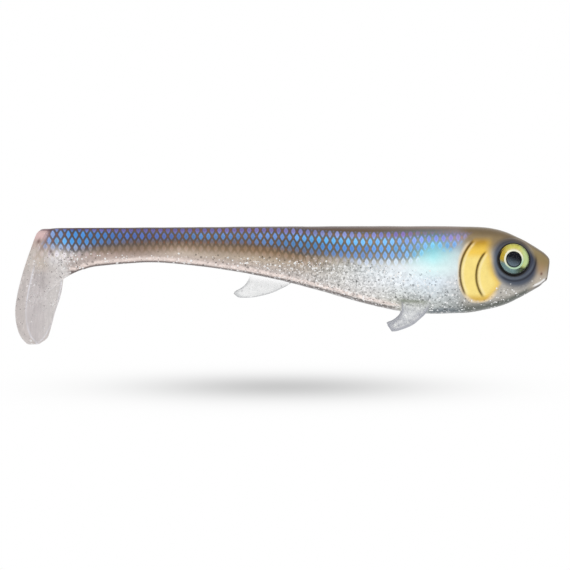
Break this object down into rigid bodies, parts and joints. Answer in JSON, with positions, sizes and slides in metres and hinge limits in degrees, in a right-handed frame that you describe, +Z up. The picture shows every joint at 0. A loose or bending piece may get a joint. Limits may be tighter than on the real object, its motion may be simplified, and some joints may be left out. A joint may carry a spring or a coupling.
{
  "type": "soft paddle-tail swimbait",
  "caption": "Soft two-colour fish-shaped fishing lure with a flat nose, raised eyes, pectoral and anal fins, and a tall tail paddle on a thin flexible stem.",
  "frame": {"origin": "centre of the flat nose face", "axes": "+X forward out of the nose, +Y to the fish's left, +Z up towards the back"},
  "size_m": [0.2283, 0.047, 0.0504],
  "materials": {
    "back_shot": "glossy brown soft plastic with a blue scale print",
    "belly_shot": "glossy translucent soft plastic with silver glitter",
    "paddle_clear": "glossy clear soft plastic with sparse glitter",
    "fin_clear": "glossy clear soft plastic",
    "eye_foil": "printed metallic foil",
    "eye_lens": "clear domed resin"
  },
  "bodies": {
    "trunk": {"trunk_back": "back_shot", "trunk_belly": "belly_shot", "eye_foil_left": "eye_foil", "eye_foil_right": "eye_foil", "eye_lens_left": "eye_lens", "eye_lens_right": "eye_lens"},
    "mid_body": {"mid_back": "back_shot", "mid_belly": "belly_shot", "flex_front": "belly_shot"},
    "rear_body": {"rear_back": "back_shot", "rear_belly": "belly_shot", "flex_mid": "belly_shot"},
    "tail_stem": {"stem_back": "back_shot", "stem_belly": "belly_shot", "flex_rear": "belly_shot"},
    "paddle": {"paddle_plate": "paddle_clear", "paddle_web": "paddle_clear", "flex_kick": "belly_shot"},
    "lobe": {"paddle_lobe": "paddle_clear", "flex_lobe": "paddle_clear"},
    "pectoral_left": {"pectoral_fin_left": "fin_clear"},
    "pectoral_right": {"pectoral_fin_right": "fin_clear"},
    "anal": {"anal_fin": "fin_clear"}
  },
  "joints": [
    {"name": "body_bend", "type": "hinge", "parent": "trunk", "child": "mid_body", "pos_m": [-0.103, 0, 0], "axis": [0, 0, 1], "range_deg": [-15, 15], "stiffness_Nm_per_rad": 0.25, "deforming": ["flex_front"]},
    {"name": "rear_bend", "type": "hinge", "parent": "mid_body", "child": "rear_body", "pos_m": [-0.143, 0, 0], "axis": [0, 0, 1], "range_deg": [-20, 20], "stiffness_Nm_per_rad": 0.12, "deforming": ["flex_mid"]},
    {"name": "stem_bend", "type": "hinge", "parent": "rear_body", "child": "tail_stem", "pos_m": [-0.176, 0, 0], "axis": [0, 0, 1], "range_deg": [-25, 25], "stiffness_Nm_per_rad": 0.06, "deforming": ["flex_rear"]},
    {"name": "paddle_kick", "type": "hinge", "parent": "tail_stem", "child": "paddle", "pos_m": [-0.204, 0, 0], "axis": [0, 0, 1], "range_deg": [-10, 80], "stiffness_Nm_per_rad": 0.03, "deforming": ["flex_kick"]},
    {"name": "lobe_flex", "type": "hinge", "parent": "paddle", "child": "lobe", "pos_m": [-0.21866, 0.01027, -0.01], "axis": [0.5736, 0.8192, 0], "range_deg": [-20, 45], "stiffness_Nm_per_rad": 0.03, "deforming": ["flex_lobe"]},
    {"name": "pectoral_flex_left", "type": "hinge", "parent": "trunk", "child": "pectoral_left", "pos_m": [-0.0555, 0.01181, -0.01185], "axis": [0.9973, 0.018, -0.0712], "range_deg": [-20, 25], "stiffness_Nm_per_rad": 0.02},
    {"name": "pectoral_flex_right", "type": "hinge", "parent": "trunk", "child": "pectoral_right", "pos_m": [-0.0555, -0.01181, -0.01185], "axis": [0.9973, -0.018, -0.0712], "range_deg": [-25, 20], "stiffness_Nm_per_rad": 0.02},
    {"name": "anal_flex", "type": "hinge", "parent": "mid_body", "child": "anal", "pos_m": [-0.11885, 0, -0.0045], "axis": [0.9767, 0, -0.2148], "range_deg": [-30, 30], "stiffness_Nm_per_rad": 0.005}
  ]
}
